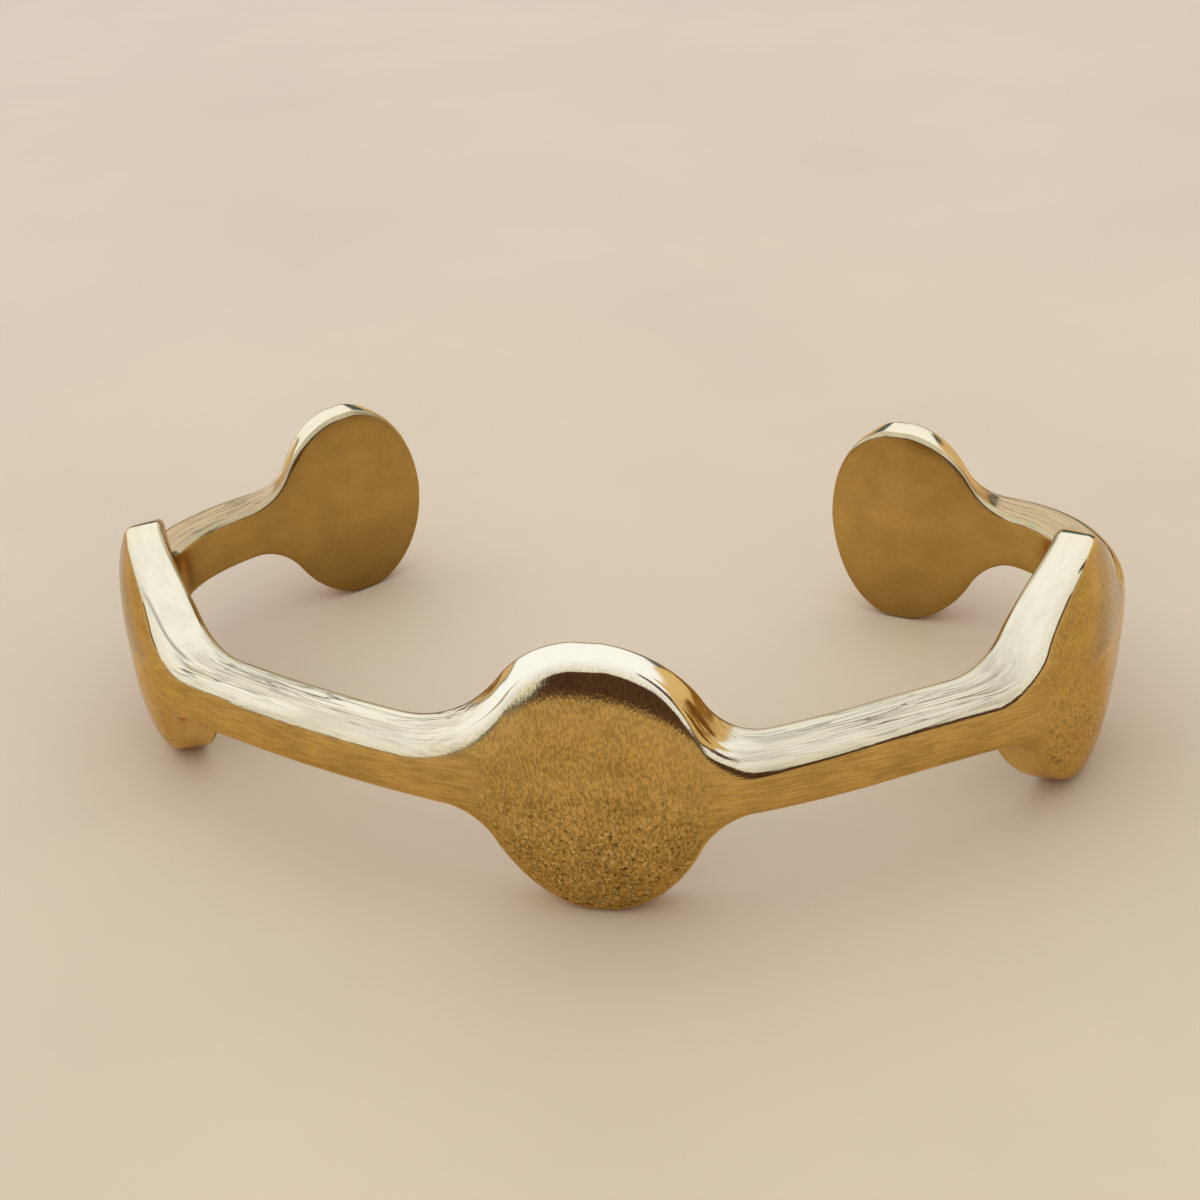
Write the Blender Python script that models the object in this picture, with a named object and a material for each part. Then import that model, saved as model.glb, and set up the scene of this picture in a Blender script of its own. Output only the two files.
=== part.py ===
"""A cuff bracelet cast and hand-bent in one piece of brass.

Five domed discs, one in front, one at each side and one at each end, are joined by four narrow bars.
The cuff lies on the rims of its discs: +Z is the wearer's arm, the front disc looks towards -Y and the
opening between the two end discs towards +Y.
"""
import math

import bmesh
import bpy
import numpy as np

MM = 0.001

# The discs: each is an upright oval, a little narrower than it is high
FRONT_DISC_HEIGHT = 16.6 * MM
FRONT_DISC_WIDTH = 12.0 * MM
SIDE_DISC_HEIGHT = 15.4 * MM
SIDE_DISC_WIDTH = 11.1 * MM
END_DISC_HEIGHT = 14.0 * MM
END_DISC_WIDTH = 10.1 * MM
# Each disc's round is cut flat by this much, at the foot it stands on and at its crest
FOOT_CUT = 0.06 * MM

# The bars between the discs, and the round in which a disc's flank runs out into a bar
BAR_HEIGHT = 3.6 * MM
FLANK_RADIUS = 4.6 * MM
# The front disc runs out more gently along its top than along its foot
FRONT_LEFT_TOP_RADIUS = 11.7 * MM
FRONT_RIGHT_TOP_RADIUS = 5.1 * MM
# The flanks slope: the outline at the inner face is wider than at the outer face by this share
FLANK_SPREAD = 0.19

# Metal from the inner face out: through a bar or a disc's middle, and at a disc's rim
THICKNESS = 3.6 * MM
RIM_THICKNESS = 2.3 * MM
# How far a bar's outer face falls from its middle to its edge
BAR_CROWN = 0.30 * MM
# A disc's dome begins in the bar beside it; a lower power makes it rise sooner
DOME_POWER = 0.5
# The outer face is flat in its middle and falls towards its edges; a higher power makes it flatter
FALL_POWER = 3.0
BAR_SHOULDER_RADIUS = 0.65 * MM
DISC_SHOULDER_RADIUS = 0.5 * MM
INNER_EDGE_RADIUS = 0.3 * MM

# Distances along the inner face, from the middle of one disc to the middle of the next
LEFT_FRONT_SPACING = 34.5 * MM
RIGHT_FRONT_SPACING = 30.0 * MM
BACK_SPACING = 23.9 * MM

# The bend of the inner face in plan, from the front disc's middle outwards along each arm.
# Columns: the spacing that the row lies in, its share of that spacing, and how far the left and the
# right arm have turned there from the line across the cuff, in degrees.
BENDS = (
    ("front", 0.00, 7, -7),
    ("front", 0.21, 21, 19),
    ("front", 0.50, 27, 30),
    ("front", 0.79, 33, 28),
    ("front", 1.00, 70, 77),
    ("back", 0.24, 69, 78),
    ("back", 0.50, 119, 111),
    ("back", 0.76, 146, 164),
    ("back", 1.00, 135, 161),
    ("tip", 1.00, 144, 144),
)
# Each bend runs into the next over this length
BEND_BLEND = 5.0 * MM

# How finely the faces are cut
PLAN_STEP = 0.1 * MM
STATION_STEP = 1.05 * MM
TIP_STATIONS = 9
TIP_LAST_ANGLE = math.radians(86)
OUTER_EDGE_POINTS = 4
INNER_EDGE_POINTS = 2
HALF_FACE_POINTS = 3

BRASS_COLOUR = (0.80, 0.56, 0.22, 1.0)
BRASS_ROUGHNESS = 0.22
SHARP_ANGLE = math.radians(40)


def clear_scene():
    for obj in list(bpy.data.objects):
        bpy.data.objects.remove(obj, do_unlink=True)


def brass():
    material = bpy.data.materials.new("polished_brass")
    material.use_nodes = True
    shader = material.node_tree.nodes["Principled BSDF"]
    shader.inputs["Base Color"].default_value = BRASS_COLOUR
    shader.inputs["Metallic"].default_value = 1.0
    shader.inputs["Roughness"].default_value = BRASS_ROUGHNESS
    return material


def disc_places():
    """Each disc: its middle along the inner face, from the front disc's middle, its height and its width."""
    left = -LEFT_FRONT_SPACING
    right = RIGHT_FRONT_SPACING
    return (
        (left - BACK_SPACING, END_DISC_HEIGHT, END_DISC_WIDTH),
        (left, SIDE_DISC_HEIGHT, SIDE_DISC_WIDTH),
        (0.0, FRONT_DISC_HEIGHT, FRONT_DISC_WIDTH),
        (right, SIDE_DISC_HEIGHT, SIDE_DISC_WIDTH),
        (right + BACK_SPACING, END_DISC_HEIGHT, END_DISC_WIDTH),
    )


def foot_half_length(height, width):
    """Half the length of the flat that FOOT_CUT leaves at a disc's foot."""
    full = height / 2 + FOOT_CUT
    return width / 2 * math.sqrt(1 - (height / 2 / full) ** 2)


def flank_radius(along, at, top):
    """The radius in which a disc's flank runs out, at distances along from the middle of the disc at."""
    if at != 0 or not top:
        return np.full_like(along, FLANK_RADIUS)
    return np.where(along < 0, FRONT_LEFT_TOP_RADIUS, FRONT_RIGHT_TOP_RADIUS)


def disc_outline(along, height, width, radius):
    """Half the height of a disc and of the bar beside it, at distances along from the disc's middle."""
    full = height / 2 + FOOT_CUT
    bar = BAR_HEIGHT / 2
    u = np.abs(along) / (width / 2) * full
    reach = np.sqrt((full + radius) ** 2 - (bar + radius) ** 2)
    touch = reach * full / (full + radius)
    round_part = np.sqrt(np.maximum(full ** 2 - u ** 2, 0))
    flank = bar + radius - np.sqrt(np.maximum(radius ** 2 - (u - reach) ** 2, 0))
    half = np.where(u <= touch, round_part, np.where(u < reach, flank, bar))
    return np.minimum(half, height / 2)


def past_end_disc(s):
    """How far places s along the inner face lie past the middle of an end disc, or 0."""
    places = disc_places()
    return np.maximum(0, np.maximum(s - places[-1][0], places[0][0] - s))


def outline(s, spread, top):
    """Half the cuff's height at places s along the inner face, above its middle or below it."""
    halves = []
    for at, height, width in disc_places():
        radius = flank_radius(s - at, at, top)
        halves.append(disc_outline(s - at, height, width * (1 + spread), radius))
    half = np.max(halves, axis=0)
    past = past_end_disc(s)
    full = END_DISC_HEIGHT / 2 + FOOT_CUT
    tip = full * np.sqrt(np.maximum(1 - (past / (END_DISC_WIDTH / 2)) ** 2, 0))
    return np.where(past > 0, np.minimum(tip, END_DISC_HEIGHT / 2), half)


def middle_height(s):
    """Height of the cuff's middle above the surface, so that all discs stand on it."""
    at_feet = []
    middles = []
    for at, height, width in disc_places():
        foot = foot_half_length(height, width)
        at_feet.extend((at - foot, at + foot))
        middles.extend((height / 2, height / 2))
    return np.interp(s, at_feet, middles)


def bend_table():
    """Places along the inner face and the directions there, from the left tip to the right tip."""
    tip = END_DISC_WIDTH / 2
    rows = []
    for side, front in ((-1, LEFT_FRONT_SPACING), (1, RIGHT_FRONT_SPACING)):
        starts = {"front": 0.0, "back": front, "tip": front + BACK_SPACING}
        lengths = {"front": front, "back": BACK_SPACING, "tip": tip}
        for stretch, share, left_turn, right_turn in BENDS:
            at = starts[stretch] + share * lengths[stretch]
            turn = left_turn if side < 0 else right_turn
            rows.append((side * at, side * math.radians(turn)))
    rows.sort()
    return np.array(rows)


def plan_line():
    """The inner face in plan: places along it, its points and its directions."""
    table = bend_table()
    s = np.arange(table[0, 0], table[-1, 0] + PLAN_STEP, PLAN_STEP)
    direction = np.interp(s, table[:, 0], table[:, 1])
    width = max(1, round(BEND_BLEND / PLAN_STEP))
    window = np.hanning(width + 2)[1:-1]
    padded = np.concatenate([np.full(width, direction[0]), direction, np.full(width, direction[-1])])
    direction = np.convolve(padded, window / window.sum(), mode="same")[width:-width]
    steps = np.diff(s)
    middle = (direction[1:] + direction[:-1]) / 2
    x = np.concatenate([[0], np.cumsum(np.cos(middle) * steps)])
    y = np.concatenate([[0], np.cumsum(np.sin(middle) * steps)])
    return s, x - np.interp(0, s, x), y - np.interp(0, s, y), direction


def stations():
    """Places of the cross-sections, with one at each end of every disc's foot."""
    places = disc_places()
    result = []
    for (a, height_a, width_a), (b, height_b, width_b) in zip(places, places[1:]):
        start = a + foot_half_length(height_a, width_a)
        stop = b - foot_half_length(height_b, width_b)
        result.extend(np.linspace(start, stop, math.ceil((stop - start) / STATION_STEP) + 1))
    for side, (at, height, width) in ((-1, places[0]), (1, places[-1])):
        first = math.asin(foot_half_length(height, width) / (width / 2))
        angles = np.linspace(first, TIP_LAST_ANGLE, TIP_STATIONS)
        result.extend(at + side * width / 2 * np.sin(angles))
    return np.array(sorted(result))


def edge_round(depth, radius):
    """How far a rounded edge falls back at a given depth in from the outline."""
    return radius - np.sqrt(np.maximum(radius ** 2 - (radius - np.minimum(depth, radius)) ** 2, 0))


def half_section(outer, inner, slope, bulge, run_out):
    """Points (outward, up) of a cross-section's upper half: down its outer face, and up its inner face.

    outer and inner are its heights at the two faces, slope is the cosine of the outline's slope there,
    bulge is 0 in a bar and 1 at a disc's middle, and run_out is the share of the dome's fall that an end
    disc has made at the section's middle.
    """
    drop = BAR_CROWN + (THICKNESS - RIM_THICKNESS - BAR_CROWN) * bulge
    radius = BAR_SHOULDER_RADIUS + (DISC_SHOULDER_RADIUS - BAR_SHOULDER_RADIUS) * bulge
    zone = min(radius / slope, outer / 2)
    edge = outer - zone * (1 - np.cos(np.linspace(0, math.pi / 2, OUTER_EDGE_POINTS + 1)))
    up = np.concatenate([edge[:-1], np.linspace(outer - zone, 0, HALF_FACE_POINTS + 1)])
    fall = run_out + (1 - run_out) * (up / outer) ** FALL_POWER
    out = THICKNESS - drop * fall - edge_round((outer - up) * slope, radius)

    zone = min(INNER_EDGE_RADIUS / slope, inner / 2)
    edge = inner - zone * (1 - np.cos(np.linspace(math.pi / 2, 0, INNER_EDGE_POINTS + 1)))
    inner_out = edge_round((inner - edge) * slope, INNER_EDGE_RADIUS)
    return np.stack([out, up], axis=1), np.stack([inner_out, edge], axis=1)


def section(upper, lower):
    """Points of a whole cross-section, made of the measures of its upper and of its lower half."""
    top_face, top_inner = half_section(*upper)
    foot_face, foot_inner = (half * (1, -1) for half in half_section(*lower))
    return np.concatenate([top_face, foot_face[-2::-1], foot_inner[::-1], top_inner])


def half_measures(s, top):
    """For each place, what half_section needs for the part above or below the cuff's middle."""
    outer = outline(s, 0.0, top)
    inner = outline(s, FLANK_SPREAD, top)
    reach = PLAN_STEP / 2
    rise = (outline(s + reach, 0.0, top) - outline(s - reach, 0.0, top)) / (2 * reach)
    slope = 1 / np.sqrt(1 + rise ** 2)
    bar = BAR_HEIGHT / 2
    past = past_end_disc(s)
    rounding = np.clip((outer - bar) / (middle_height(s) - bar), 0, 1) ** DOME_POWER
    bulge = np.where(past > 0, 1.0, rounding)
    run_out = (past / (END_DISC_WIDTH / 2)) ** 2
    return np.stack([outer, inner, slope, bulge, run_out], axis=1)


def cuff_rings():
    """Every cross-section's points in space, ring by ring from the left tip to the right tip."""
    line, x, y, direction = plan_line()
    s = stations()
    middle = middle_height(s)
    uppers = half_measures(s, True)
    lowers = half_measures(s, False)
    rings = []
    for i, at in enumerate(s):
        points = section(uppers[i], lowers[i])
        turn = np.interp(at, line, direction)
        foot = np.array([np.interp(at, line, x), np.interp(at, line, y)])
        outward = np.array([math.sin(turn), -math.cos(turn)])
        flat = foot + points[:, :1] * outward
        rings.append(np.column_stack([flat, middle[i] + points[:, 1]]))
    return np.array(rings)


def centred(rings):
    """The rings moved so that the origin is below the middle of the cuff, at the surface it lies on."""
    low = rings.min(axis=(0, 1))
    high = rings.max(axis=(0, 1))
    return rings - [(low[0] + high[0]) / 2, (low[1] + high[1]) / 2, low[2]]


def make_cuff():
    mesh = bpy.data.meshes.new("cuff")
    bm = bmesh.new()
    rings = [[bm.verts.new(point) for point in ring] for ring in centred(cuff_rings())]
    for near, far in zip(rings, rings[1:]):
        for i in range(len(near)):
            j = (i + 1) % len(near)
            bm.faces.new((near[i], near[j], far[j], far[i]))
    bm.faces.new(rings[0][::-1])
    bm.faces.new(rings[-1])
    bmesh.ops.recalc_face_normals(bm, faces=bm.faces)
    bm.to_mesh(mesh)
    bm.free()
    mesh.materials.append(brass())
    mesh.shade_smooth()
    mesh.set_sharp_from_angle(angle=SHARP_ANGLE)
    cuff = bpy.data.objects.new("cuff", mesh)
    bpy.context.scene.collection.objects.link(cuff)
    return cuff


clear_scene()
make_cuff()
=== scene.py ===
"""The looks of a cuff bracelet in hand-finished brass: its fine surface, metal, floor, light and camera.

The cuff lies on the rims of its five discs. +Z is the wearer's arm, the front disc looks towards -Y and
the opening between the end discs towards +Y. All lengths are in metres.
"""
import math

import bpy
import numpy as np
from mathutils import Matrix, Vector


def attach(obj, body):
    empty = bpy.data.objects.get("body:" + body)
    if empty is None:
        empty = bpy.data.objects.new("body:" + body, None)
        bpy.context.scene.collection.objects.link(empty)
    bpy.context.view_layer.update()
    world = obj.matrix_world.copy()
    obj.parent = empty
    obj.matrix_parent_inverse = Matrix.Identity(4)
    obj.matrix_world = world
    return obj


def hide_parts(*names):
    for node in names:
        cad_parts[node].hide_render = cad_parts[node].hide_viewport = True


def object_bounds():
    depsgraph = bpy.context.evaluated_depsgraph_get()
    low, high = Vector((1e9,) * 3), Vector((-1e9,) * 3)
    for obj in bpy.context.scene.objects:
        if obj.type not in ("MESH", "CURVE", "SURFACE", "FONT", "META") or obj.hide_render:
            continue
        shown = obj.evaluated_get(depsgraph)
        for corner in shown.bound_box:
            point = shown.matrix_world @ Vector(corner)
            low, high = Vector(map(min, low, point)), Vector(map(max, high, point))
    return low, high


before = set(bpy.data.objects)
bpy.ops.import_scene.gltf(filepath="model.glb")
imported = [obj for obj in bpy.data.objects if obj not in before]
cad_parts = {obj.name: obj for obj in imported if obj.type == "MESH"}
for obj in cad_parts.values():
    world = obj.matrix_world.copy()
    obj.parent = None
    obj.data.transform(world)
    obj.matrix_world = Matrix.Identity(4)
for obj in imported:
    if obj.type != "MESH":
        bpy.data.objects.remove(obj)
cad_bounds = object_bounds()

MM = 0.001

# The cuff's sizes, as in its solid
FRONT_DISC_HEIGHT = 16.6 * MM
FRONT_DISC_WIDTH = 12.0 * MM
SIDE_DISC_HEIGHT = 15.4 * MM
SIDE_DISC_WIDTH = 11.1 * MM
END_DISC_HEIGHT = 14.0 * MM
END_DISC_WIDTH = 10.1 * MM
FOOT_CUT = 0.06 * MM
BAR_HEIGHT = 3.6 * MM
FLANK_RADIUS = 4.6 * MM
FRONT_LEFT_TOP_RADIUS = 11.7 * MM
FRONT_RIGHT_TOP_RADIUS = 5.1 * MM
FLANK_SPREAD = 0.19
THICKNESS = 3.6 * MM
RIM_THICKNESS = 2.3 * MM
BAR_CROWN = 0.30 * MM
DOME_POWER = 0.5
# The outer face is flat in its middle and falls mostly towards its edges
FALL_POWER = 3.0
BAR_SHOULDER_RADIUS = 0.65 * MM
DISC_SHOULDER_RADIUS = 0.5 * MM
# Between its two edges a rim swells on a disc's flank and is filed a little hollow on a bar
FLANK_SWELL = 0.22 * MM
BAR_HOLLOW = 0.05 * MM
STEEPEST_SWELL = 0.45
INNER_EDGE_RADIUS = 0.3 * MM
# Above its middle the front disc's outer face is filed this far to the right of its inner face
FRONT_LEAN = 0.5 * MM
FRONT_LEAN_REACH = 11.0 * MM
LEFT_FRONT_SPACING = 34.5 * MM
RIGHT_FRONT_SPACING = 30.0 * MM
BACK_SPACING = 23.9 * MM
BEND_BLEND = 5.0 * MM

# The bend of the inner face in plan. Columns: the spacing that the row lies in, its share of that
# spacing, and how far the left and the right arm have turned there, in degrees.
BENDS = (
    ("front", 0.00, 7, -7),
    ("front", 0.21, 21, 19),
    ("front", 0.50, 27, 30),
    ("front", 0.79, 33, 28),
    ("front", 1.00, 70, 77),
    ("back", 0.24, 69, 78),
    ("back", 0.50, 119, 111),
    ("back", 0.76, 146, 164),
    ("back", 1.00, 135, 161),
    ("tip", 1.00, 144, 144),
)

# How finely the surface is cut
PLAN_STEP = 0.05 * MM
STATION_STEP = 0.2 * MM
TIP_STATIONS = 40
TIP_LAST_ANGLE = math.radians(88.5)
OUTER_EDGE_POINTS = 10
INNER_EDGE_POINTS = 5
HALF_FACE_POINTS = 18
RIM_POINTS = 16
HALF_INNER_POINTS = 7


def disc_places():
    """Each disc: its middle along the inner face, from the front disc's middle, its height and its width."""
    left = -LEFT_FRONT_SPACING
    right = RIGHT_FRONT_SPACING
    return (
        (left - BACK_SPACING, END_DISC_HEIGHT, END_DISC_WIDTH),
        (left, SIDE_DISC_HEIGHT, SIDE_DISC_WIDTH),
        (0.0, FRONT_DISC_HEIGHT, FRONT_DISC_WIDTH),
        (right, SIDE_DISC_HEIGHT, SIDE_DISC_WIDTH),
        (right + BACK_SPACING, END_DISC_HEIGHT, END_DISC_WIDTH),
    )


def foot_half_length(height, width):
    """Half the length of the flat that FOOT_CUT leaves at a disc's foot."""
    full = height / 2 + FOOT_CUT
    return width / 2 * math.sqrt(1 - (height / 2 / full) ** 2)


def flank_radius(along, at, top):
    """The radius in which a disc's flank runs out, at distances along from the middle of the disc at."""
    if at != 0 or not top:
        return np.full_like(along, FLANK_RADIUS)
    return np.where(along < 0, FRONT_LEFT_TOP_RADIUS, FRONT_RIGHT_TOP_RADIUS)


def disc_outline(along, height, width, radius):
    """Half the height of a disc and of the bar beside it, at distances along from the disc's middle."""
    full = height / 2 + FOOT_CUT
    bar = BAR_HEIGHT / 2
    u = np.abs(along) / (width / 2) * full
    reach = np.sqrt((full + radius) ** 2 - (bar + radius) ** 2)
    touch = reach * full / (full + radius)
    round_part = np.sqrt(np.maximum(full ** 2 - u ** 2, 0))
    flank = bar + radius - np.sqrt(np.maximum(radius ** 2 - (u - reach) ** 2, 0))
    half = np.where(u <= touch, round_part, np.where(u < reach, flank, bar))
    return np.minimum(half, height / 2)


def past_end_disc(s):
    """How far places s along the inner face lie past the middle of an end disc, or 0."""
    places = disc_places()
    return np.maximum(0, np.maximum(s - places[-1][0], places[0][0] - s))


def outline(s, spread, top):
    """Half the cuff's height at places s along the inner face, above its middle or below it."""
    halves = []
    for at, height, width in disc_places():
        radius = flank_radius(s - at, at, top)
        halves.append(disc_outline(s - at, height, width * (1 + spread), radius))
    half = np.max(halves, axis=0)
    past = past_end_disc(s)
    full = END_DISC_HEIGHT / 2 + FOOT_CUT
    tip = full * np.sqrt(np.maximum(1 - (past / (END_DISC_WIDTH / 2)) ** 2, 0))
    return np.where(past > 0, np.minimum(tip, END_DISC_HEIGHT / 2), half)


def middle_height(s):
    """Height of the cuff's middle above the floor, so that all discs stand on it."""
    at_feet = []
    middles = []
    for at, height, width in disc_places():
        foot = foot_half_length(height, width)
        at_feet.extend((at - foot, at + foot))
        middles.extend((height / 2, height / 2))
    return np.interp(s, at_feet, middles)


def bend_table():
    """Places along the inner face and the directions there, from the left tip to the right tip."""
    tip = END_DISC_WIDTH / 2
    rows = []
    for side, front in ((-1, LEFT_FRONT_SPACING), (1, RIGHT_FRONT_SPACING)):
        starts = {"front": 0.0, "back": front, "tip": front + BACK_SPACING}
        lengths = {"front": front, "back": BACK_SPACING, "tip": tip}
        for stretch, share, left_turn, right_turn in BENDS:
            at = starts[stretch] + share * lengths[stretch]
            turn = left_turn if side < 0 else right_turn
            rows.append((side * at, side * math.radians(turn)))
    rows.sort()
    return np.array(rows)


def plan_line():
    """The inner face in plan: places along it, its points and its directions."""
    table = bend_table()
    s = np.arange(table[0, 0], table[-1, 0] + PLAN_STEP, PLAN_STEP)
    direction = np.interp(s, table[:, 0], table[:, 1])
    width = max(1, round(BEND_BLEND / PLAN_STEP))
    window = np.hanning(width + 2)[1:-1]
    padded = np.concatenate([np.full(width, direction[0]), direction, np.full(width, direction[-1])])
    direction = np.convolve(padded, window / window.sum(), mode="same")[width:-width]
    steps = np.diff(s)
    middle = (direction[1:] + direction[:-1]) / 2
    x = np.concatenate([[0], np.cumsum(np.cos(middle) * steps)])
    y = np.concatenate([[0], np.cumsum(np.sin(middle) * steps)])
    return s, x - np.interp(0, s, x), y - np.interp(0, s, y), direction


def stations():
    """Places of the cross-sections, with one at each end of every disc's foot."""
    places = disc_places()
    result = []
    for (a, height_a, width_a), (b, height_b, width_b) in zip(places, places[1:]):
        start = a + foot_half_length(height_a, width_a)
        stop = b - foot_half_length(height_b, width_b)
        result.extend(np.linspace(start, stop, math.ceil((stop - start) / STATION_STEP) + 1))
    for side, (at, height, width) in ((-1, places[0]), (1, places[-1])):
        first = math.asin(foot_half_length(height, width) / (width / 2))
        angles = np.linspace(first, TIP_LAST_ANGLE, TIP_STATIONS)
        result.extend(at + side * width / 2 * np.sin(angles))
    for at, height, width in places[1:-1]:
        foot = foot_half_length(height, width)
        count = math.ceil(2 * foot / STATION_STEP)
        result.extend(np.linspace(at - foot, at + foot, count + 1)[1:-1])
    return np.array(sorted(result))


def edge_round(depth, radius):
    """How far a rounded edge falls back at a given depth in from the outline."""
    return radius - np.sqrt(np.maximum(radius ** 2 - (radius - np.minimum(depth, radius)) ** 2, 0))


def between(first, last, count):
    """count points spaced evenly between two points, without the two."""
    share = (np.arange(count) + 1)[:, None] / (count + 1)
    return first + (last - first) * share


def rim_swell(slope, bulge):
    """How far up the middle of a rim stands out from a straight line between its edges."""
    swell = FLANK_SWELL * (1 - slope) - BAR_HOLLOW * slope * (1 - bulge)
    share = (np.arange(RIM_POINTS) + 1) / (RIM_POINTS + 1)
    return swell / max(slope, STEEPEST_SWELL) * 4 * share * (1 - share)


def half_section(outer, inner, slope, bulge, run_out):
    """Points (outward, up) of a section's upper half: down its outer face, up its inner face, its rim."""
    drop = BAR_CROWN + (THICKNESS - RIM_THICKNESS - BAR_CROWN) * bulge
    radius = BAR_SHOULDER_RADIUS + (DISC_SHOULDER_RADIUS - BAR_SHOULDER_RADIUS) * bulge
    zone = min(radius / slope, outer / 2)
    edge = outer - zone * (1 - np.cos(np.linspace(0, math.pi / 2, OUTER_EDGE_POINTS + 1)))
    up = np.concatenate([edge[:-1], np.linspace(outer - zone, 0, HALF_FACE_POINTS + 1)])
    fall = run_out + (1 - run_out) * (up / outer) ** FALL_POWER
    out = THICKNESS - drop * fall - edge_round((outer - up) * slope, radius)
    face = np.stack([out, up], axis=1)

    zone = min(INNER_EDGE_RADIUS / slope, inner / 2)
    edge = inner - zone * (1 - np.cos(np.linspace(math.pi / 2, 0, INNER_EDGE_POINTS + 1)))
    up = np.concatenate([np.linspace(0, inner - zone, HALF_INNER_POINTS + 1)[:-1], edge])
    out = edge_round((inner - up) * slope, INNER_EDGE_RADIUS)
    inside = np.stack([out, up], axis=1)

    rim = between(inside[-1], face[0], RIM_POINTS)
    rim[:, 1] += rim_swell(slope, bulge)
    return face, inside, rim


def section(upper, lower):
    """Points of a whole cross-section, made of the measures of its upper and of its lower half."""
    face, inside, rim = half_section(*upper)
    low_face, low_inside, low_rim = (half * (1, -1) for half in half_section(*lower))
    lower_side = [low_face[-2::-1], low_rim[::-1], low_inside[::-1]]
    return np.concatenate([face, *lower_side, inside[1:], rim])


def zones():
    """For a section's points: 1 on the two rims, fading over the shoulders, and 1 on the inner face."""
    shoulder = np.cos(math.pi / 2 * np.arange(OUTER_EDGE_POINTS) / OUTER_EDGE_POINTS)
    face = np.concatenate([shoulder, np.zeros(2 * HALF_FACE_POINTS + 1), shoulder[::-1]])
    inside = np.ones(2 * (INNER_EDGE_POINTS + HALF_INNER_POINTS) + 1)
    rim = np.ones(RIM_POINTS)
    return np.concatenate([face, rim, 0 * inside, rim]), np.concatenate([0 * face, 0 * rim, inside, 0 * rim])


def leaning(s):
    """The places s moved back by as much as the front disc's outer face leans to the right there."""
    share = np.clip(np.abs(s) / FRONT_LEAN_REACH, 0, 1)
    return s - FRONT_LEAN * np.cos(math.pi / 2 * share) ** 2


def half_measures(s, top):
    """For each place, what half_section needs for the part above or below the cuff's middle."""
    at = leaning(s) if top else s
    outer = outline(at, 0.0, top)
    inner = outline(s, FLANK_SPREAD, top)
    reach = PLAN_STEP / 2
    rise = (outline(at + reach, 0.0, top) - outline(at - reach, 0.0, top)) / (2 * reach)
    slope = 1 / np.sqrt(1 + rise ** 2)
    bar = BAR_HEIGHT / 2
    past = past_end_disc(s)
    rounding = np.clip((outer - bar) / (middle_height(s) - bar), 0, 1) ** DOME_POWER
    bulge = np.where(past > 0, 1.0, rounding)
    run_out = (past / (END_DISC_WIDTH / 2)) ** 2
    return np.stack([outer, inner, slope, bulge, run_out], axis=1)


def cuff_rings():
    """Every cross-section's points in space, for each its place (along, up, outward), and the bulges."""
    line, x, y, direction = plan_line()
    s = stations()
    middle = middle_height(s)
    uppers = half_measures(s, True)
    lowers = half_measures(s, False)
    rings = []
    places = []
    for i, at in enumerate(s):
        points = section(uppers[i], lowers[i])
        turn = np.interp(at, line, direction)
        foot = np.array([np.interp(at, line, x), np.interp(at, line, y)])
        outward = np.array([math.sin(turn), -math.cos(turn)])
        flat = foot + points[:, :1] * outward
        rings.append(np.column_stack([flat, middle[i] + points[:, 1]]))
        places.append(np.column_stack([np.full(len(points), at), points[:, 1], points[:, 0]]))
    return np.array(rings), np.array(places), lowers[:, 3]


def fitted(points, bounds):
    """The points centred in the solid's box, and drawn in where facets leave it a little smaller."""
    low = points.min(axis=(0, 1))
    high = points.max(axis=(0, 1))
    box_low = np.array(bounds[0])
    box_high = np.array(bounds[1])
    share = np.minimum(1, (box_high - box_low) / (high - low))
    return (points - (low + high) / 2) * share + (box_low + box_high) / 2


def add_attribute(mesh, name, kind, values):
    """A value or a vector on each of the mesh's points, under a name that the material reads."""
    field = "vector" if kind == "FLOAT_VECTOR" else "value"
    layer = mesh.attributes.new(name, kind, "POINT")
    layer.data.foreach_set(field, np.asarray(values, dtype=np.float32).ravel())


def make_cuff():
    """The cuff as one closed surface of rings, with the coordinates that its material follows."""
    rings, places, bulge = cuff_rings()
    rings = fitted(rings, cad_bounds)
    count, around = rings.shape[:2]
    index = np.arange(count * around).reshape(count, around)
    following = np.roll(index, -1, axis=1)
    quads = np.stack([index[:-1], index[1:], following[1:], following[:-1]], axis=-1).reshape(-1, 4)
    faces = quads.tolist() + [index[0].tolist(), index[-1][::-1].tolist()]
    mesh = bpy.data.meshes.new("cuff_surface")
    mesh.from_pydata(rings.reshape(-1, 3).tolist(), [], faces)
    mesh.validate()
    mesh.shade_smooth()
    rim, inside = zones()
    along, up, out = np.moveaxis(places / MM, -1, 0)
    add_attribute(mesh, "place", "FLOAT_VECTOR", np.stack([along, up, out], axis=-1))
    add_attribute(mesh, "rim", "FLOAT", np.broadcast_to(rim, (count, around)))
    add_attribute(mesh, "inside", "FLOAT", np.broadcast_to(inside, (count, around)))
    add_attribute(mesh, "disc", "FLOAT", np.broadcast_to(bulge[:, None], (count, around)))
    cuff = bpy.data.objects.new("cuff_surface", mesh)
    bpy.context.scene.collection.objects.link(cuff)
    return cuff


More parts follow.
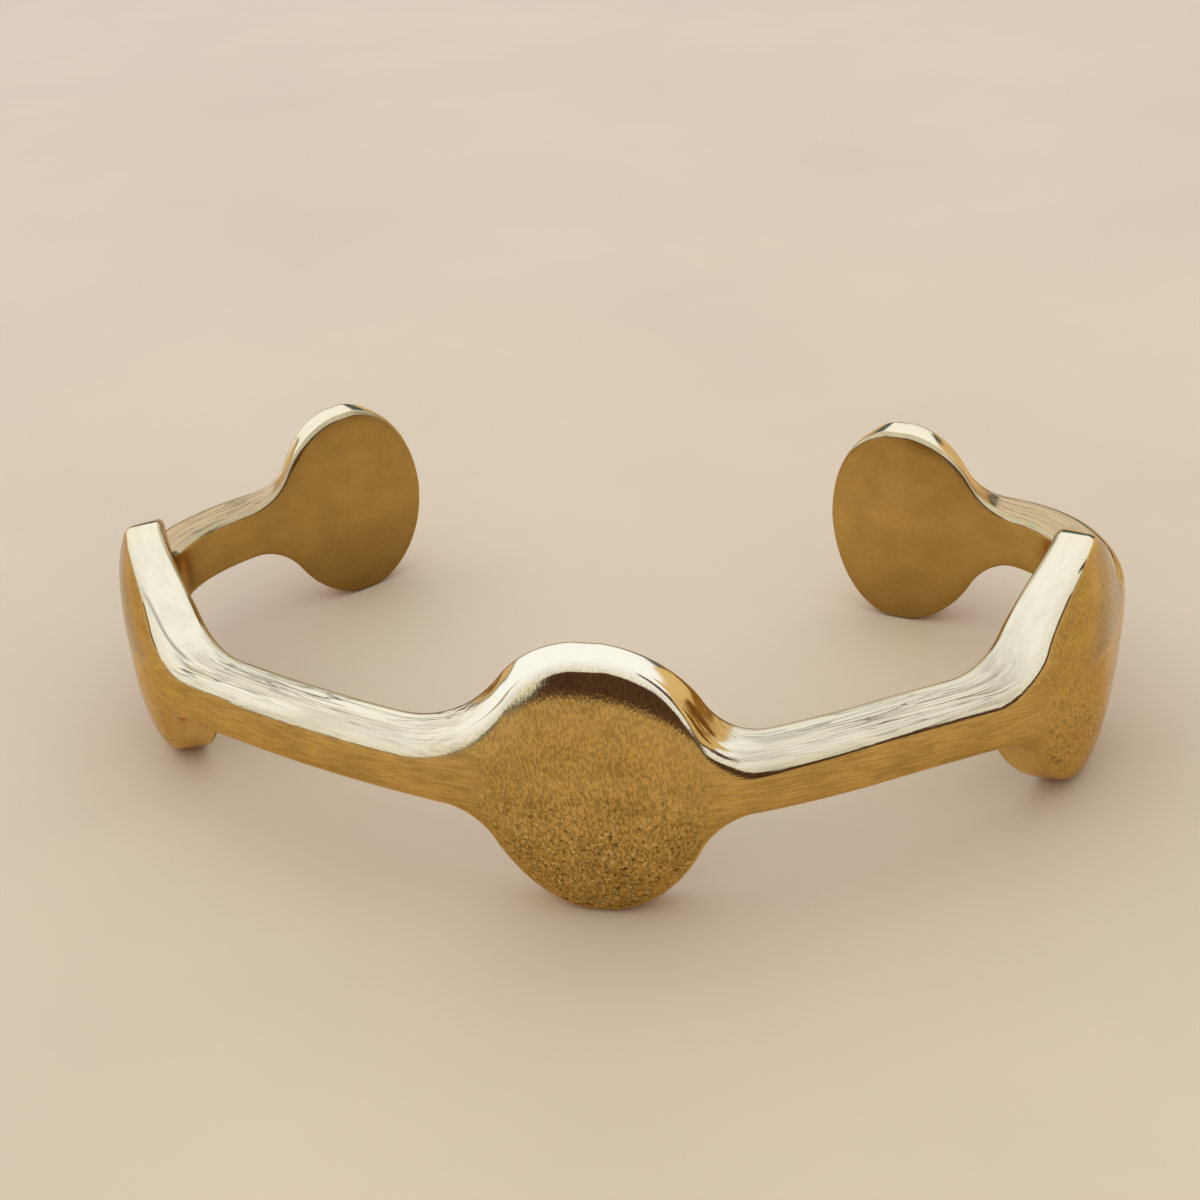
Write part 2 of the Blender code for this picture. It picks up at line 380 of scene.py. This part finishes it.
class Nodes:
    """Short ways to add and link shader nodes."""

    def __init__(self, tree):
        self.tree = tree

    def new(self, kind, links=None, **settings):
        node = self.tree.nodes.new(kind)
        for name, value in settings.items():
            setattr(node, name, value)
        for socket, value in (links or {}).items():
            self.set(node.inputs[socket], value)
        return node

    def set(self, socket, value):
        if isinstance(value, bpy.types.NodeSocket):
            self.tree.links.new(value, socket)
        else:
            socket.default_value = value

    def math(self, operation, a, b=0.0, c=0.0, clamp=False):
        node = self.new("ShaderNodeMath", {0: a, 1: b, 2: c}, operation=operation, use_clamp=clamp)
        return node.outputs[0]

    def product(self, first, *others):
        for other in others:
            first = self.math("MULTIPLY", first, other)
        return first

    def scaled_plus(self, value, scale, rest):
        return self.math("MULTIPLY_ADD", value, scale, rest)

    def ramp(self, value, low, high, to_low=0.0, to_high=1.0):
        links = {"Value": value, "From Min": low, "From Max": high, "To Min": to_low, "To Max": to_high}
        return self.new("ShaderNodeMapRange", links, interpolation_type="SMOOTHSTEP").outputs["Result"]

    def stretch(self, value, places):
        """1 along a stretch, fading at both ends: places are its start, where it is full, fades and ends."""
        start, full, fading, end = places
        return self.product(self.ramp(value, start, full), self.ramp(value, end, fading))

    def mix(self, factor, a, b):
        node = self.new("ShaderNodeMix", data_type="RGBA")
        self.set(node.inputs["Factor"], factor)
        self.set(node.inputs["A"], a)
        self.set(node.inputs["B"], b)
        return node.outputs["Result"]

    def blend(self, factor, a, b):
        node = self.new("ShaderNodeMix", {"Factor": factor, 2: a, 3: b}, data_type="FLOAT")
        return node.outputs["Result"]

    def parts(self, vector):
        outputs = self.new("ShaderNodeSeparateXYZ", {0: vector}).outputs
        return outputs["X"], outputs["Y"], outputs["Z"]

    def scaled(self, vector, scale):
        node = self.new("ShaderNodeVectorMath", {0: vector, 1: scale}, operation="MULTIPLY")
        return node.outputs["Vector"]

    def sum(self, vector, x=0.0, y=0.0, z=0.0):
        shift = self.new("ShaderNodeCombineXYZ", {"X": x, "Y": y, "Z": z}).outputs["Vector"]
        node = self.new("ShaderNodeVectorMath", {0: vector, 1: shift}, operation="ADD")
        return node.outputs["Vector"]

    def noise(self, vector, detail=3.0, roughness=0.55):
        links = {"Vector": vector, "Scale": 1.0, "Detail": detail, "Roughness": roughness}
        return self.new("ShaderNodeTexNoise", links).outputs["Fac"]

    def attribute(self, name, output="Fac"):
        return self.new("ShaderNodeAttribute", attribute_name=name).outputs[output]


# The brass, in linear red, green and blue
BRASS_BRIGHT = (0.70, 0.455, 0.135, 1.0)
BRASS_DEEP = (0.26, 0.16, 0.038, 1.0)
BRASS_RIM = (0.79, 0.565, 0.21, 1.0)
BRASS_CREST = (0.825, 0.61, 0.245, 1.0)
BRASS_PIT = (0.07, 0.035, 0.008, 1.0)
# Painted glints: a bright colour that stands in for highlights beside the pits
BRASS_PAINTED_GLINT = (0.95, 0.72, 0.32, 1.0)
BRASS_SATIN = (0.42, 0.28, 0.095, 1.0)
# Painted shade: a darker brass that stands in for the darker reflection on the back bars' tops
BRASS_BACK_BAR_SHADE = (0.50, 0.27, 0.065, 1.0)
# Darkens the file lines, and paints the shade in the gouge
BRASS_LINE = (0.20, 0.135, 0.05, 1.0)
BRASS_GRAZED = (1.0, 0.86, 0.62, 1.0)
# Painted shade: the darker brass on the inner faces, inside the cuff
BRASS_INNER_SHADE = (0.22, 0.125, 0.03, 1.0)

# How strongly each mark tints the brass, and how strongly the painted glints and painted shade do
PIT_TINT = 0.85
GLINT_TINT = 0.7
LINE_TINT = 0.7
CLOUD_TINT = 0.27
STROKE_TINT = 0.34
FRONT_STROKE_TINT = 0.32
RIGHT_BAR_TINT = 0.3
BACK_BARS_SHADE = 0.85

# How rough the polished face is, and how much each mark or zone adds to that
POLISHED_ROUGHNESS = 0.04
STROKE_ROUGHNESS = 0.12
RIM_ROUGHNESS = 0.09
INSIDE_ROUGHNESS = 0.12

# Relief of the marks, as shares of the relief's height
STROKE_RELIEF = 0.4
PIT_RELIEF = -0.8
LINE_RELIEF = -0.8
RELIEF_HEIGHT = 0.02 * MM

# How far the normal is turned where hand filing left a face off its ideal lie
FLANK_LIFT = 0.3
BAR_LIFT = 0.30
SHOULDER_LIFT = 0.32
CORNER_LEAN = 0.17

# Stretches along the cuff in mm, from the front disc's middle: start, full, fading, end
FRONT_LEFT_FLANK = (-9.5, -8.0, -2.6, -1.5)
LEFT_END_FLANK = (-58.5, -57.0, -52.0, -50.5)
LEFT_SIDE_CORNER = (-29.0, -27.6, -24.6, -23.4)
GOUGE_STRETCH = (-31.4, -30.4, -28.2, -27.2)
RIGHT_BAR_EDGE = (6.0, 9.0, 17.0, 21.0)
# Where the right bar's rim is darker all along
RIGHT_BAR_DARKENING = (6.5, 9.5, 22.0, 27.0)
# The gouge lies where out + slant * along + offset is 0
GOUGE_SLANT = 0.12
GOUGE_OFFSET = 1.2
# A stretch on both arms
SIDE_DISC_SHOULDERS = (22.0, 24.0, 35.0, 38.0)

# Scales of the noises: waves per mm along the cuff, up it and out of it
CLOUD_SCALE = (0.4, 0.5, 0.35)
LENGTHWISE_SCALE = (0.7, 8.0, 8.0)
UPRIGHT_SCALE = (9.5, 3.2, 4.0)
GRAIN_SCALE = (4.6, 4.0, 4.0)
GLINT_SCALE = (5.0, 4.0, 5.0)
SATIN_SCALE = (0.14, 0.8, 1.6)
WANDER_SCALE = (0.09, 0.3, 1.7)
RIPPLE_SCALE = (0.12, 0.5, 4.2)
PATCH_SCALE = (0.11, 0.2, 0.35)
# How far in mm the upright strokes sway to either side
STROKE_SWAY = 0.3


def level_lines(n, place, scale, level, breadth):
    """Thin lines where a smooth noise crosses a level: 1 in a line."""
    noise = n.noise(n.scaled(place, scale), detail=1.5)
    off = n.math("ABSOLUTE", n.math("SUBTRACT", noise, level))
    return n.ramp(off, breadth, 0.0)


def file_lines(n, place):
    """Long thin wavy grooves that a file left along the bars' tops, in patches: 1 in a groove."""
    broad = level_lines(n, place, WANDER_SCALE, level=0.5, breadth=0.02)
    fine = level_lines(n, place, RIPPLE_SCALE, level=0.52, breadth=0.045)
    patch = n.ramp(n.noise(n.scaled(place, PATCH_SCALE), detail=1.0), 0.42, 0.58, 0.3, 1.0)
    return n.product(n.scaled_plus(fine, 0.75, broad), patch)


def gouge(n, place, rim):
    """One slanting gouge that a file left on the left side disc's rim: 1 in it. Its groove is in the relief,
    and its dark colour is painted shade.
    """
    along, up, out = n.parts(place)
    off = n.math("ABSOLUTE", n.math("ADD", n.scaled_plus(along, GOUGE_SLANT, out), GOUGE_OFFSET))
    return n.product(n.ramp(off, 0.15, 0.02), rim, n.ramp(up, 0.0, 1.0), n.stretch(along, GOUGE_STRETCH))


def brush_strokes(n, place, cloud, on_face):
    """Fine strokes as a noise: upright and swaying a little on the discs' faces, lengthwise elsewhere."""
    swayed = n.sum(place, x=n.scaled_plus(cloud, 2 * STROKE_SWAY, -STROKE_SWAY))
    lengthwise = n.noise(n.scaled(place, LENGTHWISE_SCALE))
    upright = n.noise(n.scaled(swayed, UPRIGHT_SCALE))
    return n.blend(n.ramp(on_face, 0.25, 0.75), lengthwise, upright)


def face_colour(n, place, strokes, cloud, on_face, inside):
    """The faces' brass, deeper in the strokes, whose contrast is strongest low on the front disc."""
    along, up, _ = n.parts(place)
    streaks = n.product(n.ramp(strokes, 0.38, 0.62), n.scaled_plus(inside, -0.6, 1.0))
    near_front = n.ramp(n.math("ABSOLUTE", along), 14.0, 7.0)
    coarse = n.product(near_front, n.ramp(up, 5.0, -2.0, 0.4, 1.0))
    depth = n.scaled_plus(n.product(on_face, coarse), FRONT_STROKE_TINT, STROKE_TINT)
    tone = n.scaled_plus(streaks, depth, n.product(n.ramp(cloud, 0.3, 0.7), CLOUD_TINT))
    return n.mix(tone, BRASS_BRIGHT, BRASS_DEEP)


def rim_colour(n, place, disc):
    """The rims' paler brass: satin patches on the bars, darker all along the right bar, brightest on the
    front disc, and painted shade that darkens the back bars.
    """
    along, _, _ = n.parts(place)
    away = n.math("ABSOLUTE", along)
    satin = n.ramp(n.noise(n.scaled(place, SATIN_SCALE)), 0.4, 0.66)
    satin = n.product(satin, n.ramp(disc, 0.6, 0.0, 0.15, 0.45))
    # The right bar's rim is darker all along its stretch
    satin = n.math("MULTIPLY_ADD", n.stretch(along, RIGHT_BAR_DARKENING), RIGHT_BAR_TINT, satin, clamp=True)
    colour = n.mix(satin, BRASS_RIM, BRASS_SATIN)
    colour = n.mix(n.ramp(away, 8.0, 4.0), colour, BRASS_CREST)
    # Painted shade: the back bars' tops darkened, standing in for a darker reflection there
    back_bars_shade = n.product(n.ramp(away, 35.5, 39.0), n.ramp(disc, 0.7, 0.2))
    return n.mix(n.product(back_bars_shade, BACK_BARS_SHADE), colour, BRASS_BACK_BAR_SHADE)


def filed_normal(n, normal, place, rim):
    """The normal, turned a little where hand filing left the faces off their ideal lie.

    Up on the left flanks of the front and left end discs and on the right bar's edge, forward in the
    left side disc's corner, and up above and down below a crisp line along the side discs' shoulders.
    """
    along, up, out = n.parts(place)
    flanks = n.math("ADD", n.stretch(along, FRONT_LEFT_FLANK), n.stretch(along, LEFT_END_FLANK))
    flanks = n.product(flanks, rim, n.ramp(out, 0.8, 1.7))
    bar_edge = n.ramp(n.scaled_plus(along, -0.07, up), 0.15, 0.5)
    bar_edge = n.product(n.stretch(along, RIGHT_BAR_EDGE), bar_edge, n.math("SUBTRACT", 1.0, rim))
    shoulders = n.stretch(n.math("ABSOLUTE", along), SIDE_DISC_SHOULDERS)
    shoulders = n.product(shoulders, n.ramp(up, 0.5, 2.0))
    lift = n.scaled_plus(bar_edge, BAR_LIFT, n.product(flanks, FLANK_LIFT))
    lift = n.scaled_plus(shoulders, n.ramp(rim, 0.3, 0.7, -SHOULDER_LIFT, SHOULDER_LIFT), lift)
    forward = n.product(n.stretch(along, LEFT_SIDE_CORNER), rim, -CORNER_LEAN)
    turned = n.sum(normal, y=forward, z=lift)
    return n.new("ShaderNodeVectorMath", {0: turned}, operation="NORMALIZE").outputs["Vector"]


def polished_brass():
    """Brass with fine brushing: up and down the discs, lengthwise on the bars, pitted low on the discs, with
    painted glints beside the pits and painted shade in the gouge, on the inner faces and on the back bars.
    """
    material = bpy.data.materials.new("polished_brass")
    material.use_nodes = True
    shader = material.node_tree.nodes["Principled BSDF"]
    n = Nodes(material.node_tree)
    place = n.attribute("place", "Vector")
    along, up, _ = n.parts(place)
    disc = n.attribute("disc")
    rim = n.attribute("rim")
    inside = n.attribute("inside")
    off_rim = n.math("SUBTRACT", 1.0, rim)
    on_face = n.math("MULTIPLY", disc, off_rim, clamp=True)

    cloud = n.noise(n.scaled(place, CLOUD_SCALE))
    strokes = brush_strokes(n, place, cloud, on_face)
    low = n.ramp(up, 3.5, -4.5, 0.06, 1.0)
    low = n.product(low, n.math("SUBTRACT", on_face, inside, clamp=True))
    pits = n.product(n.ramp(n.noise(n.scaled(place, GRAIN_SCALE), detail=2.0), 0.59, 0.66), low)
    # Painted glints: bright spots low on the discs that stand in for highlights beside the pits
    painted_glints = n.product(n.ramp(n.noise(n.scaled(place, GLINT_SCALE), detail=1.0), 0.61, 0.68), low)
    lines = n.product(file_lines(n, place), rim, n.ramp(disc, 0.5, 0.05))
    # The gouge is cut in the relief and coloured dark there as painted shade
    lines = n.math("ADD", lines, gouge(n, place, rim))

    face = face_colour(n, place, strokes, cloud, on_face, inside)
    colour = n.mix(rim, face, rim_colour(n, place, disc))
    colour = n.mix(n.product(pits, PIT_TINT), colour, BRASS_PIT)
    colour = n.mix(n.product(painted_glints, GLINT_TINT), colour, BRASS_PAINTED_GLINT)
    # Dark file lines, and painted shade in the gouge
    colour = n.mix(n.math("MULTIPLY", lines, LINE_TINT, clamp=True), colour, BRASS_LINE)
    # Painted shade on the inner faces: darker towards the bottom and less dark towards the right end
    inner_shade = n.math("ADD", n.ramp(up, 1.0, -6.5, 0.42, 0.75), n.ramp(along, 20.0, 45.0, 0.0, -0.2))
    colour = n.mix(n.product(inside, inner_shade), colour, BRASS_INNER_SHADE)
    n.set(shader.inputs["Base Color"], colour)
    shader.inputs["Metallic"].default_value = 1.0
    shader.inputs["Specular Tint"].default_value = BRASS_GRAZED

    rough = n.scaled_plus(n.product(strokes, off_rim), STROKE_ROUGHNESS, POLISHED_ROUGHNESS)
    rough = n.scaled_plus(rim, RIM_ROUGHNESS, rough)
    rough = n.scaled_plus(inside, INSIDE_ROUGHNESS, rough)
    n.set(shader.inputs["Roughness"], rough)

    relief = n.product(strokes, n.scaled_plus(rim, -0.9, 1.0))
    relief = n.scaled_plus(relief, STROKE_RELIEF, n.product(pits, PIT_RELIEF))
    relief = n.scaled_plus(lines, LINE_RELIEF, relief)
    bump = n.new("ShaderNodeBump", {"Height": relief, "Strength": 1.0, "Distance": RELIEF_HEIGHT})
    n.set(shader.inputs["Normal"], filed_normal(n, bump.outputs["Normal"], place, rim))
    return material


FLOOR_COLOUR = (0.68, 0.425, 0.13, 1.0)
FLOOR_ROUGHNESS = 0.85
FLOOR_HALF_WIDTH = 0.9
# The floor's faint clouds: waves per metre, and how dark they are
FLOOR_CLOUD_SCALE = (25.0, 25.0, 25.0)
FLOOR_CLOUD_SHADE = 0.94


def make_floor():
    """A plain pale floor at the height of the discs' feet."""
    half = FLOOR_HALF_WIDTH
    mesh = bpy.data.meshes.new("floor")
    corners = [(-half, -half, 0), (half, -half, 0), (half, half, 0), (-half, half, 0)]
    mesh.from_pydata(corners, [], [(0, 1, 2, 3)])
    material = bpy.data.materials.new("floor")
    material.use_nodes = True
    n = Nodes(material.node_tree)
    shader = material.node_tree.nodes["Principled BSDF"]
    where = n.new("ShaderNodeTexCoord").outputs["Object"]
    cloud = n.noise(n.scaled(where, FLOOR_CLOUD_SCALE), detail=4.0)
    shade = tuple(FLOOR_CLOUD_SHADE * c for c in FLOOR_COLOUR[:3]) + (1.0,)
    n.set(shader.inputs["Base Color"], n.mix(n.ramp(cloud, 0.3, 0.7), FLOOR_COLOUR, shade))
    shader.inputs["Roughness"].default_value = FLOOR_ROUGHNESS
    mesh.materials.append(material)
    floor = bpy.data.objects.new("floor", mesh)
    bpy.context.scene.collection.objects.link(floor)


# What the metal reflects, and the backdrop that the camera sees
SKY = (1.15, 1.52, 3.3, 1.0)
TREES = (0.05, 0.12, 0.25, 1.0)
DARK_FRONT = (0.12, 0.08, 0.10, 1.0)
GROUND = (0.80, 0.70, 0.57, 1.0)
BACKDROP = (0.68, 0.64, 0.58, 1.0)

# Heights are the upward part of a direction, and turns are its angle from -Y towards +X, in radians.
# The tree line stands higher behind the cuff, within a breadth in x.
TREE_TOP = 0.03
TREE_TOP_BEHIND = 0.17
TREE_RAGGEDNESS = 0.08
TREE_WAVES = (7.0, 7.0, 7.0)
BEHIND_BREADTH = (-0.55, -0.4, 0.45, 0.6)
BEHIND_FROM = (0.3, 0.6)
# The dark place's top sinks to the left and in a notch on the right, and rises beyond the notch
DARK_TOP = (0.47, 0.43)
DARK_TURNS = (-0.86, -0.84, 1.95, 2.05)
LEFT_TURNS = (0.0, -0.3)
LEFT_SINK = 0.1
NOTCH_TURNS = (1.02, 1.15, 1.62, 1.72)
NOTCH_DEPTH = 0.36
RISE_TURNS = (1.62, 1.75)
RISE_BEYOND = 0.3
# The ground, which the floor hides elsewhere, reaches up on the right behind the cuff
HORIZON = -0.016
GROUND_RISE = 0.3
RIGHT_FROM = (0.36, 0.44)
BACK_FROM = (0.1, 0.3)


def sky_over_trees(n, towards):
    """The sky, over a ragged dark line of trees."""
    x, y, z = n.parts(towards)
    behind = n.product(n.ramp(y, *BEHIND_FROM), n.stretch(x, BEHIND_BREADTH))
    ragged = n.noise(n.scaled(towards, TREE_WAVES))
    top = n.scaled_plus(behind, TREE_TOP_BEHIND, TREE_TOP - TREE_RAGGEDNESS / 2)
    top = n.scaled_plus(ragged, TREE_RAGGEDNESS, top)
    return n.mix(n.ramp(n.math("SUBTRACT", z, top), -0.015, 0.03), TREES, SKY)


def dark_front(n, towards):
    """1 in the dark place in front of the cuff and to its right."""
    x, y, z = n.parts(towards)
    turn = n.math("ARCTAN2", x, n.product(y, -1.0))
    sink = n.product(n.stretch(turn, NOTCH_TURNS), NOTCH_DEPTH)
    sink = n.scaled_plus(n.ramp(turn, *LEFT_TURNS), LEFT_SINK, sink)
    sink = n.scaled_plus(n.ramp(turn, *RISE_TURNS), -RISE_BEYOND, sink)
    return n.product(n.stretch(turn, DARK_TURNS), n.ramp(n.math("ADD", z, sink), *DARK_TOP))


def ground(n, towards):
    """1 on the ground."""
    x, y, z = n.parts(towards)
    aside = n.product(n.ramp(x, *RIGHT_FROM), n.ramp(y, *BACK_FROM))
    horizon = n.scaled_plus(aside, GROUND_RISE, HORIZON)
    return n.ramp(n.math("SUBTRACT", z, horizon), 0.004, -0.004)


def make_world():
    """A bright soft sky over a dark line of trees, with a dark place in front and to the right."""
    world = bpy.data.worlds.new("studio")
    bpy.context.scene.world = world
    world.use_nodes = True
    n = Nodes(world.node_tree)
    background = world.node_tree.nodes["Background"]
    towards = n.new("ShaderNodeTexCoord").outputs["Generated"]
    colour = n.mix(dark_front(n, towards), sky_over_trees(n, towards), DARK_FRONT)
    colour = n.mix(ground(n, towards), colour, GROUND)
    seen = n.new("ShaderNodeLightPath").outputs["Is Camera Ray"]
    n.set(background.inputs["Color"], n.mix(seen, colour, BACKDROP))
    background.inputs["Strength"].default_value = 1.0


CAMERA_AT = (20.22 * MM, -116.34 * MM, 74.28 * MM)
CAMERA_YAW = math.radians(9.80)
CAMERA_PITCH = math.radians(29.11)
CAMERA_ROLL = math.radians(5.31)
SENSOR_WIDTH = 36.0
PHOTOGRAPH_WIDTH_PIXELS = 1200
FOCAL_LENGTH_PIXELS = 2123.7
FOCAL_LENGTH = FOCAL_LENGTH_PIXELS / PHOTOGRAPH_WIDTH_PIXELS * SENSOR_WIDTH


def make_camera():
    """A camera at the photograph's place: turned left by the yaw, looking down by the pitch, and rolled."""
    camera = bpy.data.cameras.new("camera")
    camera.sensor_width = SENSOR_WIDTH
    camera.lens = FOCAL_LENGTH
    camera.clip_start = 1 * MM
    holder = bpy.data.objects.new("camera", camera)
    yaw = Matrix.Rotation(CAMERA_YAW, 4, "Z")
    pitch = Matrix.Rotation(math.pi / 2 - CAMERA_PITCH, 4, "X")
    roll = Matrix.Rotation(-CAMERA_ROLL, 4, "Z")
    holder.matrix_world = Matrix.Translation(CAMERA_AT) @ yaw @ pitch @ roll
    bpy.context.scene.collection.objects.link(holder)
    bpy.context.scene.camera = holder


cuff = make_cuff()
cuff.data.materials.append(polished_brass())
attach(cuff, "root")
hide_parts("cuff")
make_floor()
make_world()
make_camera()
bpy.context.scene.view_settings.view_transform = "Standard"
